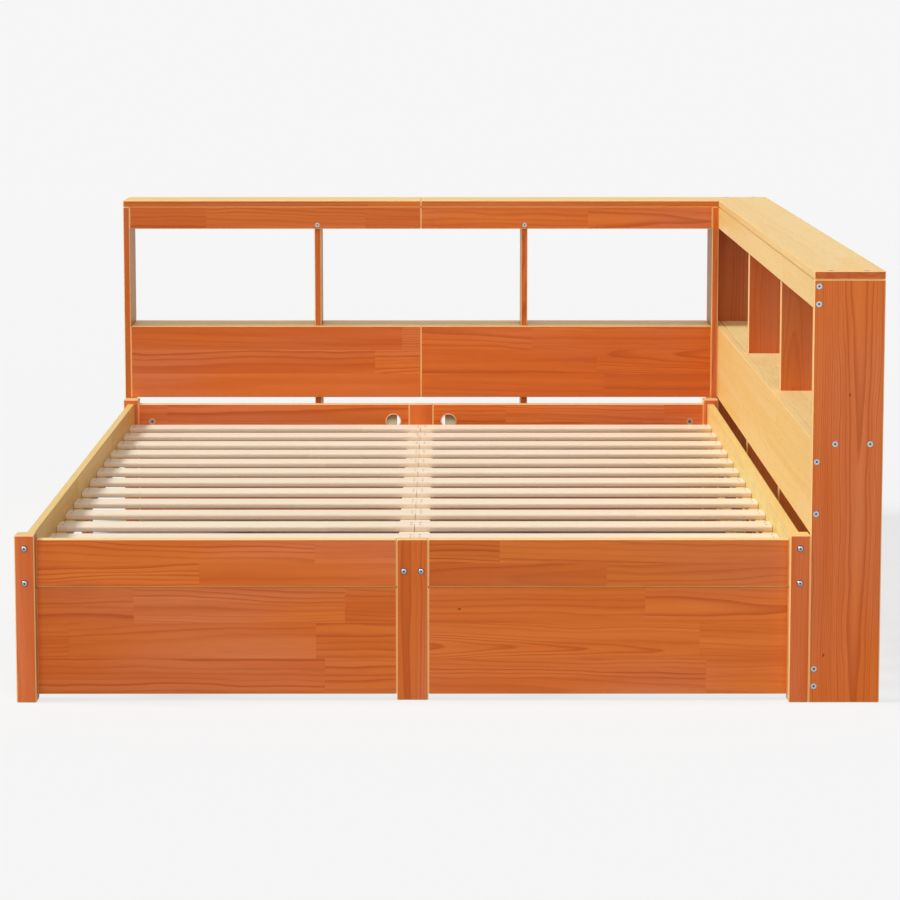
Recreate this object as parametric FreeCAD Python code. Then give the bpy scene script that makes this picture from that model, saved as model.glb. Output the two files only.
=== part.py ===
"""A double bed in solid pine with a low open bookcase across its head and a longer one along its side.

Places are worked out from three planes: x = 0 is the bed's centre line, y = 0 the front of the foot
posts and z = 0 the floor. Left and right are seen from the foot end. All sizes are millimetres.
"""
import FreeCAD, Part
import os

from FreeCAD import Vector

# ------------------------------------------------------------------ what the bed is made for
MATTRESS_WIDTH = 1600.0
MATTRESS_LENGTH = 2000.0

# ------------------------------------------------------------------ bed frame timber
POST_SECTION = 42.0
POST_HEIGHT = 356.0
RAIL_THICKNESS = 20.0
RAIL_DROP = 12.0
SIDE_RAIL_HEIGHT = 106.0
END_RAIL_HEIGHT = 102.0
END_PANEL_LIFT = 13.0
CENTRE_POST_WIDTH = 66.0
SIDE_LEG_WIDTH = 70.0
EDGE_BREAK = 2.0

# ------------------------------------------------------------------ slats and what carries them
SLAT_COUNT = 13
SLAT_WIDTH = 70.0
SLAT_THICKNESS = 12.0
SLAT_EDGE_RADIUS = 5.0
SLAT_LOWER_BREAK = 2.0
SLAT_SINK = 58.0
SLAT_END_GAP = 1.0
LEDGE_SECTION = 25.0
BEAM_WIDTH = 70.0
BEAM_HEIGHT = 20.0
BEAM_LEG_SECTION = 42.0

# ------------------------------------------------------------------ stub tenons
TENON_THICKNESS = 8.0
TENON_LENGTH = 10.0
TENON_SHOULDER = 14.0
TENON_PLAY = 0.2
BEAM_TENON_LENGTH = 10.0

# ------------------------------------------------------------------ frame bolts
BOLT_DIAMETER = 6.0
BOLT_PLAY = 1.0
BOLT_HEAD_DIAMETER = 14.0
BOLT_HEAD_HEIGHT = 4.0
BOLT_BITE = 50.0
CORNER_BOLT_TOP_DROP = 28.0
CORNER_BOLT_SPACING = 73.5
CENTRE_BOLT_SPACING = 36.0

# ------------------------------------------------------------------ cable holes in the head rails
CABLE_HOLE_DIAMETER = 42.0
CABLE_HOLE_OFFSET = 77.0
CABLE_HOLE_DROP = 49.0

# ------------------------------------------------------------------ bookcases
CASE_HEIGHT = 910.0
CASE_DEPTH = 148.0
CASE_CLEARANCE = 0.3
BOARD = 18.0
FACE_BOARD = 20.0
FASCIA_HEIGHT = 61.0
SHELF_TOP = 558.0
PANEL_RISE = 1.0
PLINTH_LIFT = 22.0
PLINTH_HEIGHT = 62.0
BACK_DIVIDER_SPACING = 578.0
SIDE_DIVIDER_SPACING = 712.0
SEAM_BATTEN_WIDTH = 100.0

# ------------------------------------------------------------------ worked out: the bed
POST_CENTRE_X = (MATTRESS_WIDTH + RAIL_THICKNESS) / 2
POST_INNER_X = POST_CENTRE_X - POST_SECTION / 2
BED_HALF_WIDTH = POST_CENTRE_X + POST_SECTION / 2
BED_LENGTH = MATTRESS_LENGTH + 2 * POST_SECTION
RAIL_TOP = POST_HEIGHT - RAIL_DROP
SIDE_RAIL_BOTTOM = RAIL_TOP - SIDE_RAIL_HEIGHT
END_RAIL_BOTTOM = RAIL_TOP - END_RAIL_HEIGHT
SLAT_TOP = POST_HEIGHT - SLAT_SINK
SLAT_BOTTOM = SLAT_TOP - SLAT_THICKNESS
SLAT_GAP = (MATTRESS_LENGTH - SLAT_COUNT * SLAT_WIDTH) / (SLAT_COUNT + 1)
BEAM_BOTTOM = SLAT_BOTTOM - BEAM_HEIGHT
END_RAIL_CENTRE_Y = POST_SECTION - RAIL_THICKNESS / 2

# ------------------------------------------------------------------ worked out: the bookcases
CASE_UNDER_TOP = CASE_HEIGHT - BOARD
FASCIA_BOTTOM = CASE_UNDER_TOP - FASCIA_HEIGHT
SHELF_UNDERSIDE = SHELF_TOP - BOARD
PANEL_BOTTOM = POST_HEIGHT + PANEL_RISE
PLINTH_TOP = PLINTH_LIFT + PLINTH_HEIGHT
BACK_CASE_FRONT = BED_LENGTH + BOLT_HEAD_HEIGHT + CASE_CLEARANCE
BACK_CASE_REAR = BACK_CASE_FRONT + CASE_DEPTH
BACK_CASE_INNER_X = BED_HALF_WIDTH - BOARD
SIDE_CASE_OUTER_X = BED_HALF_WIDTH + CASE_DEPTH

# The part's own origin: on the floor, at the centre of its overall box.
ORIGIN = Vector(
    (SIDE_CASE_OUTER_X - BED_HALF_WIDTH) / 2,
    (BACK_CASE_REAR - BOLT_HEAD_HEIGHT) / 2,
    0,
)

LEFT = -1
RIGHT = 1
SIDE_NAMES = {LEFT: "left", RIGHT: "right"}
FOOT = "foot"
HEAD = "head"


# ------------------------------------------------------------------ helpers
def across(side, inner, outer):
    """The x range of a piece that lies between two distances from the centre line."""
    return tuple(sorted((side * inner, side * outer)))


def along(end, near, far):
    """The y range of a piece, its distances measured from the outer face of the foot or head posts."""
    return (near, far) if end == FOOT else (BED_LENGTH - far, BED_LENGTH - near)


def centred(middle, width):
    return (middle - width / 2, middle + width / 2)


def block(x, y, z):
    """A plain block between three pairs of planes."""
    corner = Vector(x[0], y[0], z[0])
    return Part.makeBox(x[1] - x[0], y[1] - y[0], z[1] - z[0], corner)


def board(x, y, z):
    """A planed board with every edge broken."""
    solid = block(x, y, z)
    return solid.makeChamfer(EDGE_BREAK, solid.Edges)


def rod(start, direction, diameter, length):
    return Part.makeCylinder(diameter / 2, length, start, direction)


def group(solids):
    return Part.makeCompound(list(solids))


def export(node, shape):
    """Write one node, moved to the part's own origin."""
    shape.translated(ORIGIN * -1).exportStep("parts/" + node + ".step")


# ------------------------------------------------------------------ frame bolts
def bolt(seat, direction, reach):
    """A bolt lying along its direction, the underside of its round head on the seat."""
    shank = rod(seat, direction, BOLT_DIAMETER, reach)
    return shank.fuse(rod(seat, direction * -1, BOLT_HEAD_DIAMETER, BOLT_HEAD_HEIGHT))


def bolt_line(x, z, end, seat_depth):
    """A frame bolt's seat, the way it goes in and how far it reaches, into what stands behind the post."""
    inward = Vector(0, 1, 0) if end == FOOT else Vector(0, -1, 0)
    seat = Vector(x, along(end, seat_depth, seat_depth)[0], z)
    return seat, inward, POST_SECTION - seat_depth + BOLT_BITE


def corner_bolts(side, end):
    """Two bolts through a corner post into the end of its side rail."""
    top = POST_HEIGHT - CORNER_BOLT_TOP_DROP
    return [bolt_line(side * POST_CENTRE_X, z, end, 0) for z in (top, top - CORNER_BOLT_SPACING)]


def beam_bolts(end):
    """Two bolts through a centre post into the end of the centre beam."""
    z = SLAT_BOTTOM - BEAM_HEIGHT / 2
    seat_depth = POST_SECTION - RAIL_THICKNESS
    return [bolt_line(x, z, end, seat_depth) for x in centred(0, CENTRE_BOLT_SPACING)]


def bolt_bores(lines):
    return [rod(seat, inward, BOLT_DIAMETER + BOLT_PLAY, reach) for seat, inward, reach in lines]


def frame_bolts():
    lines = [line for side in (LEFT, RIGHT) for end in (FOOT, HEAD) for line in corner_bolts(side, end)]
    lines += [line for end in (FOOT, HEAD) for line in beam_bolts(end)]
    return group(bolt(*line) for line in lines)


# ------------------------------------------------------------------ bed frame
def end_board_tenons(side, end, bottom, top, play=0.0):
    """The two stub tenons of an end rail or end panel, in its centre post and its corner post."""
    y = along(end, *centred(END_RAIL_CENTRE_Y, TENON_THICKNESS + 2 * play))
    z = (bottom + TENON_SHOULDER - play, top - TENON_SHOULDER + play)
    inner = CENTRE_POST_WIDTH / 2
    tenons = [
        across(side, inner - TENON_LENGTH - play, inner + TENON_LENGTH),
        across(side, POST_INNER_X - TENON_LENGTH, POST_INNER_X + TENON_LENGTH + play),
    ]
    return [block(x, y, z) for x in tenons]


def end_mortises(side, end):
    """What the rail and the panel of one half of an end take out of the posts they stand between."""
    rail = end_board_tenons(side, end, END_RAIL_BOTTOM, RAIL_TOP, TENON_PLAY)
    panel = end_board_tenons(side, end, END_PANEL_LIFT, END_RAIL_BOTTOM, TENON_PLAY)
    return rail + panel


def side_rail_tenon(side, end, play=0.0):
    """The stub tenon of a side rail, between the two bolts of its corner post."""
    x = centred(side * POST_CENTRE_X, TENON_THICKNESS + 2 * play)
    y = along(end, POST_SECTION - TENON_LENGTH - play, POST_SECTION + TENON_LENGTH)
    top_bolt = POST_HEIGHT - CORNER_BOLT_TOP_DROP
    z = (top_bolt - CORNER_BOLT_SPACING + TENON_SHOULDER - play, top_bolt - TENON_SHOULDER + play)
    return block(x, y, z)


def corner_post(side, end):
    x = across(side, POST_INNER_X, BED_HALF_WIDTH)
    post = board(x, along(end, 0, POST_SECTION), (0, POST_HEIGHT))
    cutters = bolt_bores(corner_bolts(side, end)) + end_mortises(side, end)
    cutters.append(side_rail_tenon(side, end, TENON_PLAY))
    return post.cut(cutters)


def side_rail(side):
    x = across(side, MATTRESS_WIDTH / 2, MATTRESS_WIDTH / 2 + RAIL_THICKNESS)
    rail = board(x, (POST_SECTION, BED_LENGTH - POST_SECTION), (SIDE_RAIL_BOTTOM, RAIL_TOP))
    for end in (FOOT, HEAD):
        rail = rail.fuse(side_rail_tenon(side, end)).cut(bolt_bores(corner_bolts(side, end)))
    return rail.cut(side_leg_tenon(side, TENON_PLAY))


def side_leg_tenon(side, play=0.0):
    x = centred(side * POST_CENTRE_X, TENON_THICKNESS + 2 * play)
    y = centred(BED_LENGTH / 2, SIDE_LEG_WIDTH - 2 * TENON_SHOULDER + 2 * play)
    return block(x, y, (SIDE_RAIL_BOTTOM - TENON_LENGTH, SIDE_RAIL_BOTTOM + TENON_LENGTH + play))


def side_leg(side):
    x = centred(side * POST_CENTRE_X, RAIL_THICKNESS)
    leg = board(x, centred(BED_LENGTH / 2, SIDE_LEG_WIDTH), (0, SIDE_RAIL_BOTTOM))
    return leg.fuse(side_leg_tenon(side))


def end_board_depth(end):
    """The y range of the rails, panels and centre post of one end, flush with the inner faces of the posts."""
    return along(end, POST_SECTION - RAIL_THICKNESS, POST_SECTION)


def centre_post(end):
    y = end_board_depth(end)
    post = board(centred(0, CENTRE_POST_WIDTH), y, (0, RAIL_TOP))
    cutters = bolt_bores(beam_bolts(end)) + end_mortises(LEFT, end) + end_mortises(RIGHT, end)
    return post.cut(cutters)


def end_board(side, end, bottom, top):
    """A rail or panel of the foot or head end, from the centre post to a corner post."""
    x = across(side, CENTRE_POST_WIDTH / 2, POST_INNER_X)
    solid = board(x, end_board_depth(end), (bottom, top))
    return solid.fuse(end_board_tenons(side, end, bottom, top))


def end_rail(side, end):
    rail = end_board(side, end, END_RAIL_BOTTOM, RAIL_TOP)
    if end == FOOT:
        return rail
    hole_start = Vector(side * CABLE_HOLE_OFFSET, BED_LENGTH - POST_SECTION, RAIL_TOP - CABLE_HOLE_DROP)
    return rail.cut(rod(hole_start, Vector(0, 1, 0), CABLE_HOLE_DIAMETER, RAIL_THICKNESS))


def end_panel(side, end):
    return end_board(side, end, END_PANEL_LIFT, END_RAIL_BOTTOM)


# ------------------------------------------------------------------ slats, ledges and centre beam
def slat_ledge(side):
    x = across(side, MATTRESS_WIDTH / 2 - LEDGE_SECTION, MATTRESS_WIDTH / 2)
    y = (POST_SECTION, BED_LENGTH - POST_SECTION)
    return board(x, y, (SLAT_BOTTOM - LEDGE_SECTION, SLAT_BOTTOM))


def centre_beam():
    beam = board(
        centred(0, BEAM_WIDTH), (POST_SECTION, BED_LENGTH - POST_SECTION), (BEAM_BOTTOM, SLAT_BOTTOM)
    )
    return beam.cut(beam_bolt_bores() + [beam_leg_tenon(TENON_PLAY)])


def beam_bolt_bores():
    return bolt_bores(beam_bolts(FOOT) + beam_bolts(HEAD))


def beam_leg_tenon(play=0.0):
    size = BEAM_LEG_SECTION - 2 * TENON_SHOULDER + 2 * play
    z = (BEAM_BOTTOM - BEAM_TENON_LENGTH, BEAM_BOTTOM + BEAM_TENON_LENGTH + play)
    return block(centred(0, size), centred(BED_LENGTH / 2, size), z)


def centre_leg():
    leg = board(
        centred(0, BEAM_LEG_SECTION), centred(BED_LENGTH / 2, BEAM_LEG_SECTION), (0, BEAM_BOTTOM)
    )
    return leg.fuse(beam_leg_tenon())


def slat(side, y_start):
    """Half a row of the slatted base, rounded along its upper edges."""
    x = across(side, SLAT_END_GAP / 2, MATTRESS_WIDTH / 2 - SLAT_END_GAP)
    solid = block(x, (y_start, y_start + SLAT_WIDTH), (SLAT_BOTTOM, SLAT_TOP))
    long_edges = [edge for edge in solid.Edges if edge.BoundBox.XLength > SLAT_WIDTH]
    upper = [edge for edge in long_edges if edge.BoundBox.ZMax > SLAT_BOTTOM + SLAT_THICKNESS / 2]
    rounded = solid.makeFillet(SLAT_EDGE_RADIUS, upper)
    lower = [edge for edge in rounded.Edges if edge.BoundBox.ZMax < SLAT_BOTTOM + EDGE_BREAK / 2]
    return rounded.makeChamfer(SLAT_LOWER_BREAK, [e for e in lower if e.BoundBox.XLength > SLAT_WIDTH])


def slat_row(index):
    y_start = POST_SECTION + SLAT_GAP + index * (SLAT_WIDTH + SLAT_GAP)
    return group(slat(side, y_start) for side in (LEFT, RIGHT))


# ------------------------------------------------------------------ back bookcase
def case_face(front):
    """The depth range of a facing board of the back case."""
    return (front, front + FACE_BOARD)


def back_side(side):
    x = across(side, BACK_CASE_INNER_X, BED_HALF_WIDTH)
    return board(x, (BACK_CASE_FRONT, BACK_CASE_REAR), (0, CASE_UNDER_TOP))


def back_top(side):
    x = across(side, 0, BED_HALF_WIDTH)
    return board(x, (BACK_CASE_FRONT, BACK_CASE_REAR), (CASE_UNDER_TOP, CASE_HEIGHT))


def back_facing(side, bottom, top):
    """Half of a facing board; the two halves meet at the centre line."""
    return board(across(side, 0, BACK_CASE_INNER_X), case_face(BACK_CASE_FRONT), (bottom, top))


def behind_back_facing():
    return (BACK_CASE_FRONT + FACE_BOARD, BACK_CASE_REAR)


def back_divider(side):
    x = centred(side * BACK_DIVIDER_SPACING / 2, BOARD)
    return board(x, behind_back_facing(), (0, CASE_UNDER_TOP))


def back_shelves():
    divider_inner = (BACK_DIVIDER_SPACING - BOARD) / 2
    divider_outer = divider_inner + BOARD
    spans = [
        (-BACK_CASE_INNER_X, -divider_outer),
        (-divider_inner, divider_inner),
        (divider_outer, BACK_CASE_INNER_X),
    ]
    return group(board(span, behind_back_facing(), (SHELF_UNDERSIDE, SHELF_TOP)) for span in spans)


def back_seam_battens():
    """Battens behind the seams of the facing boards."""
    front = BACK_CASE_FRONT + FACE_BOARD
    heights = [
        (FASCIA_BOTTOM, CASE_UNDER_TOP),
        (PANEL_BOTTOM, SHELF_UNDERSIDE),
        (PLINTH_LIFT, PLINTH_TOP),
    ]
    return group(board(centred(0, SEAM_BATTEN_WIDTH), (front, front + BOARD), z) for z in heights)


# ------------------------------------------------------------------ side bookcase
def side_case_depth():
    return (BED_HALF_WIDTH, SIDE_CASE_OUTER_X)


def behind_side_facing():
    return (BED_HALF_WIDTH + FACE_BOARD, SIDE_CASE_OUTER_X)


def side_end(y_start):
    return board(side_case_depth(), (y_start, y_start + BOARD), (0, CASE_UNDER_TOP))


def side_top():
    return board(side_case_depth(), (0, BACK_CASE_REAR), (CASE_UNDER_TOP, CASE_HEIGHT))


def side_facing(bottom, top):
    x = (BED_HALF_WIDTH, BED_HALF_WIDTH + FACE_BOARD)
    return board(x, (BOARD, BACK_CASE_REAR - BOARD), (bottom, top))


def side_divider_range(order):
    """order is -1 for the divider nearer the foot and 1 for the one nearer the head."""
    return centred(BACK_CASE_REAR / 2 + order * SIDE_DIVIDER_SPACING / 2, BOARD)


def side_divider(order):
    return board(behind_side_facing(), side_divider_range(order), (0, CASE_UNDER_TOP))


def side_shelves():
    front_divider = side_divider_range(-1)
    rear_divider = side_divider_range(1)
    spans = [
        (BOARD, front_divider[0]),
        (front_divider[1], rear_divider[0]),
        (rear_divider[1], BACK_CASE_REAR - BOARD),
    ]
    return group(board(behind_side_facing(), span, (SHELF_UNDERSIDE, SHELF_TOP)) for span in spans)


# ------------------------------------------------------------------ the whole part
def export_bed():
    for end in (FOOT, HEAD):
        export("centre_post_" + end, centre_post(end))
        for side in (LEFT, RIGHT):
            export("post_" + end + "_" + SIDE_NAMES[side], corner_post(side, end))
            export(end + "_rail_" + SIDE_NAMES[side], end_rail(side, end))
            export(end + "_panel_" + SIDE_NAMES[side], end_panel(side, end))
    for side in (LEFT, RIGHT):
        export("side_rail_" + SIDE_NAMES[side], side_rail(side))
        export("side_leg_" + SIDE_NAMES[side], side_leg(side))
    export("slat_ledges", group(slat_ledge(side) for side in (LEFT, RIGHT)))
    export("centre_beam", centre_beam())
    export("centre_leg", centre_leg())
    for index in range(SLAT_COUNT):
        export("slat_row_%02d" % (index + 1), slat_row(index))
    export("frame_bolts", frame_bolts())


def export_back_case():
    for side in (LEFT, RIGHT):
        name = SIDE_NAMES[side]
        export("back_side_" + name, back_side(side))
        export("back_top_" + name, back_top(side))
        export("back_fascia_" + name, back_facing(side, FASCIA_BOTTOM, CASE_UNDER_TOP))
        export("back_panel_" + name, back_facing(side, PANEL_BOTTOM, SHELF_TOP))
        export("back_divider_" + name, back_divider(side))
    export("back_plinth", group(back_facing(side, PLINTH_LIFT, PLINTH_TOP) for side in (LEFT, RIGHT)))
    export("back_shelves", back_shelves())
    export("back_seam_battens", back_seam_battens())


def export_side_case():
    export("side_end_front", side_end(0))
    export("side_end_rear", side_end(BACK_CASE_REAR - BOARD))
    export("side_top", side_top())
    export("side_fascia", side_facing(FASCIA_BOTTOM, CASE_UNDER_TOP))
    export("side_panel", side_facing(PANEL_BOTTOM, SHELF_TOP))
    export("side_plinth", side_facing(PLINTH_LIFT, PLINTH_TOP))
    export("side_divider_front", side_divider(-1))
    export("side_divider_rear", side_divider(1))
    export("side_shelves", side_shelves())


os.makedirs("parts", exist_ok=True)
export_bed()
export_back_case()
export_side_case()
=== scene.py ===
"""Looks of a stained pine bed in an L of two open bookcases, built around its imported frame."""

import math
from contextlib import contextmanager
from functools import partial

import bmesh
import bpy
from bpy.props import FloatProperty, FloatVectorProperty, PointerProperty
from mathutils import Matrix, Vector


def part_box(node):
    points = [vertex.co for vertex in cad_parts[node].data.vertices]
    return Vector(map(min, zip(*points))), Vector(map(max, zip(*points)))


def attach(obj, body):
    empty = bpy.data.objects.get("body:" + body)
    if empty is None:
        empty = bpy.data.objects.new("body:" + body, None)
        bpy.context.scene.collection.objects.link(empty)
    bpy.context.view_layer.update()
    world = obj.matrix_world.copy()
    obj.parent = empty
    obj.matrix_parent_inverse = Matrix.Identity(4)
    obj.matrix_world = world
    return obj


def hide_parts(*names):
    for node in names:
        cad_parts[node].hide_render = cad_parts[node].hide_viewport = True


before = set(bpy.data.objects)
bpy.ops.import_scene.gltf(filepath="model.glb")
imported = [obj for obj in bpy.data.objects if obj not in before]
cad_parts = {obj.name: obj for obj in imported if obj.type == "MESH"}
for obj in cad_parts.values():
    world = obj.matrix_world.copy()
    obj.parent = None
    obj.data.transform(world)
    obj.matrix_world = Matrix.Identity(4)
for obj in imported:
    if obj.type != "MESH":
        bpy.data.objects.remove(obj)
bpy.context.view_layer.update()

bl_info = {
    "name": "Pine bed with bookcases",
    "version": (1, 0, 0),
    "blender": (4, 5, 0),
    "location": "3D View > Sidebar > Pine Bed",
    "description": "Stains the boards, fits the bolts and screws and sets the stage of a pine bed",
    "category": "Object",
}

BODY = "root"

# Which way the grain runs in each board, and over which width its strips are glued side by side.
BOARDS = {
    ("X", "Z"): (
        "foot_rail_left foot_rail_right foot_panel_left foot_panel_right head_rail_left head_rail_right "
        "head_panel_left head_panel_right back_fascia_left back_fascia_right back_panel_left "
        "back_panel_right back_plinth"
    ),
    ("X", "Y"): "back_top_left back_top_right back_shelves",
    ("Y", "Z"): "side_rail_left side_rail_right side_fascia side_panel side_plinth",
    ("Y", "X"): "side_top side_shelves slat_ledges",
    ("Z", "X"): (
        "post_foot_left post_foot_right post_head_left post_head_right centre_post_foot centre_post_head "
        "centre_leg side_end_front side_end_rear side_divider_front side_divider_rear back_seam_battens"
    ),
    ("Z", "Y"): (
        "back_side_left back_side_right back_divider_left back_divider_right side_leg_left side_leg_right"
    ),
}
SLAT_ROWS = [name for name in sorted(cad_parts) if name.startswith("slat_row_")]
SIDE_RAILS = ("side_rail_left", "side_rail_right")
# Boards whose faces and edges that look up get painted light, a lighter colour as if lit from above, with
# their colour there.
PAINTED_LIGHT_TOPS = {
    "foot_rail_left": "end_rail_top",
    "foot_rail_right": "end_rail_top",
    "side_shelves": "shelf_top",
    "side_panel": "shelf_top",
}
JOINTS = {
    "foot_panel_left": "joint_edge",
    "foot_panel_right": "joint_edge",
    "head_panel_left": "joint_edge",
    "head_panel_right": "joint_edge",
    "back_fascia_left": "fascia_edge",
    "back_fascia_right": "fascia_edge",
    "side_fascia": "side_joint",
}
# Boards that took more or less stain, and the side bookcase's inner boards darkened as painted shade: the
# share of light that their front and rear faces give back.
STAIN_AND_SHADE_SHARES = {
    "post_foot_left": 1.12,
    "post_foot_right": 1.04,
    "foot_rail_left": 1.05,
    "foot_rail_right": 0.92,
    "head_rail_left": 1.06,
    "head_rail_right": 1.1,
    # Painted shade: the side bookcase's dividers and rear end board, darker where shade falls inside it.
    "side_divider_front": 0.82,
    "side_divider_rear": 0.83,
    "side_end_rear": 0.64,
    "back_side_left": 0.86,
    "back_side_right": 0.9,
    "back_divider_left": 0.9,
    "back_divider_right": 0.88,
    "back_fascia_left": 0.88,
    "back_fascia_right": 0.94,
    "back_panel_left": 0.96,
    "back_panel_right": 0.97,
    "back_top_left": 0.93,
    "back_top_right": 0.93,
    "side_top": 0.86,
}
# Which sides, 1 to the right and -1 to the left, get painted shade: a darker colour for the faces inside the
# bookcase and the left foot post's inner face, where shade falls.
PAINTED_SHADE_SIDES = {
    "back_side_left": 1,
    "back_side_right": -1,
    "back_divider_left": 1,
    "back_divider_right": 1,
    "post_foot_left": 1,
}
FIRST_SLAT_SEED = 101
BARE = {name: ("X", "Y") for name in SLAT_ROWS} | {"centre_beam": ("Y", "X")}


def display(red, green, blue):
    """The linear values that nodes hold, from a colour as a screen shows it, 0 to 255."""
    parts = [value / 255 for value in (red, green, blue)]
    return tuple(p / 12.92 if p <= 0.04045 else ((p + 0.055) / 1.055) ** 2.4 for p in parts)


def a_colour(name, description, red, green, blue):
    """A colour the user can change, given as a screen shows it."""
    default = display(red, green, blue)
    return FloatVectorProperty(
        name=name, description=description, default=default, min=0, max=1, size=3, subtype="COLOR"
    )


def a_number(name, description, default, **settings):
    """A plain number the user can change."""
    return FloatProperty(name=name, description=description, default=default, min=0, **settings)


def a_length(name, description, default):
    """A length the user can change."""
    return a_number(name, description, default, unit="LENGTH", precision=4)


class StainLooks(bpy.types.PropertyGroup):
    """Colours and figure of the stained boards."""

    front_light: a_colour("Front, light", "Early wood of front and rear faces", 237, 128, 51)
    front_dark: a_colour("Front, dark", "Darkest tone of front and rear faces", 211, 95, 23)
    front_line: a_colour("Front, lines", "Late wood of front and rear faces", 180, 70, 13)
    front_blush: a_colour("Front, blush", "Pale patches of front and rear faces", 233, 134, 84)
    # Painted light: the side colours are a lit copy of the orange stain, lighter and yellower as if strongly
    # lit.
    side_light: a_colour("Side, light", "Early wood of the tops and sides", 241, 206, 138)
    side_dark: a_colour("Side, dark", "Darkest tone of the tops and sides", 236, 192, 108)
    side_line: a_colour("Side, lines", "Late wood of the tops and sides", 224, 170, 84)
    # Sanded edge colour and painted highlight: edges beside the front faces that don't look down get this
    # lighter colour, as where light falls on them.
    front_edge_wear_and_highlight: a_colour("Edges, front", "Sanded edges beside the front faces", 250, 196, 134)
    # Painted shade: the edges between tops and sides are toned down below the sides so that, catching more
    # light, they look like the sides.
    side_edge: a_colour("Edges, side", "Sanded edges between tops and sides", 226, 182, 110)
    joint_edge: a_colour("Edges, joint", "Sanded edges between end rails and panels", 190, 112, 48)
    side_joint: a_colour("Edges, side fascia", "Sanded upper edges of the side fascia", 192, 144, 76)
    fascia_edge: a_colour("Edges, fascia", "Sanded upper edges of the back fascia", 222, 142, 76)
    # Painted light: the side rails in the same lit copy of the stain, the left rail's face beside the slats
    # in a lighter tone.
    rail: a_colour("Side rails", "Early wood of the side rails", 231, 214, 142)
    rail_inside: a_colour("Side rails, inside", "Face of the left side rail beside the slats", 252, 222, 158)
    # Painted light: these top colours make up faces lighter, as if lit from above.
    end_rail_top: a_colour("Foot rails, top", "Upper faces of the foot rails", 248, 226, 168)
    shelf_top: a_colour("Side shelves, top", "Upper faces of the side bookcase's shelves", 254, 226, 160)
    # Painted shade: the darker colour of sideways faces inside the bookcase and of the left foot post's
    # inner face.
    inside: a_colour("Insides", "Sideways faces inside the back bookcase", 204, 146, 78)
    knot: a_colour("Knots", "Small knots and resin marks", 128, 50, 16)
    strip: a_length("Strip width", "Width of the strips a board is glued from", 0.066)
    block: a_length("Block length", "Mean length of the blocks in a strip", 0.72)
    ring: a_length("Ring spacing", "Mean distance between growth rings", 0.0095)
    upright_ring: a_length("Ring spacing, uprights", "Mean distance between rings of uprights", 0.0052)
    roughness: a_number("Roughness", "Roughness of the waxed surface", 0.45)


class SlatLooks(bpy.types.PropertyGroup):
    """Colours of the bare slats."""

    top_light: a_colour("Top, light", "Early wood of the slats' tops", 248, 234, 211)
    top_dark: a_colour("Top, dark", "Darkest tone of the slats' tops", 243, 225, 200)
    line: a_colour("Lines", "Late wood of the slats", 244, 214, 182)
    # Painted shade: the slats' long edges are darker than their tops, as if in shade.
    front_light: a_colour("Edges, light", "Early wood of the slats' long edges", 236, 213, 186)
    front_dark: a_colour("Edges, dark", "Darkest tone of the slats' long edges", 221, 195, 166)
    roughness: a_number("Roughness", "Roughness of the planed surface", 0.6)


class HardwareLooks(bpy.types.PropertyGroup):
    """Sizes and colours of the bolts and screws."""

    bolt_head: a_length("Bolt head", "Diameter of a frame bolt's head", 0.014)
    bolt_rise: a_length("Bolt rise", "Height of a frame bolt's head", 0.004)
    bolt_shank: a_length("Bolt shank", "Diameter of a frame bolt", 0.006)
    case_head: a_length("Case screw head", "Diameter of a bookcase screw's head", 0.0125)
    slat_head: a_length("Slat screw head", "Diameter of a slat screw's head", 0.0062)
    cam_head: a_length("Cam head", "Diameter of a cam fitting's face", 0.0135)
    flush_rise: a_length("Flush rise", "How far a sunk head stands out of the wood", 0.0002)
    washer: a_length("Washer", "Thickness of a frame bolt's washer", 0.0008)
    hole_bore: a_length("Hole bore", "Diameter of a cable hole in the rail", 0.042)
    liner_depth: a_length("Liner depth", "How deep a cable hole's liner goes in", 0.0185)
    lid_setback: a_length("Lid setback", "How far a lid sits back in its cable hole", 0.012)
    lid_reach: a_length("Lid reach", "How far a lid reaches past the middle of its hole", 0.01)
    lid: a_colour("Lid", "Bare wood of the cable holes' lids", 230, 216, 180)
    # Painted shadow: the lids' upper part darker, as if shaded by the rail.
    lid_painted_shadow: a_colour("Lid, top", "Darkened upper part of the cable holes' lids", 150, 134, 104)
    zinc: a_colour("Zinc", "Bright zinc plating", 172, 176, 183)
    dull_zinc: a_colour("Dull zinc", "Plating of the flush heads", 178, 175, 174)
    # Painted shade: dark metal stands for the shade in sockets, slots and countersinks and for the shadow on
    # the washer round each bolt's dome.
    socket: a_colour("Sockets", "Shaded metal in sockets and slots", 80, 82, 90)


class StageLooks(bpy.types.PropertyGroup):
    """Floor, light and camera."""

    backdrop: a_colour("Backdrop", "Background seen by the camera", 246, 246, 246)
    floor: a_colour("Floor", "Colour of the floor as it lights the bed", 160, 160, 160)
    shade: a_colour("Shade", "Floor deep under the bed", 150, 135, 122)
    floor_glow: a_number("Floor glow", "Share of the seen floor that has no shadow", 0.72)
    ambient: a_number("Ambient", "Strength of the even light of the room", 0.24)
    key: a_number("Key", "Strength of the lamp from the upper left", 2.6)
    fill: a_number("Fill", "Strength of the broad lamp from the front", 1.6)
    floor_radius: a_length("Floor radius", "Radius of the floor", 16.0)


class BedLooks(bpy.types.PropertyGroup):
    """Everything a user would change."""

    stain: PointerProperty(type=StainLooks)
    slats: PointerProperty(type=SlatLooks)
    hardware: PointerProperty(type=HardwareLooks)
    stage: PointerProperty(type=StageLooks)


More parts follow.
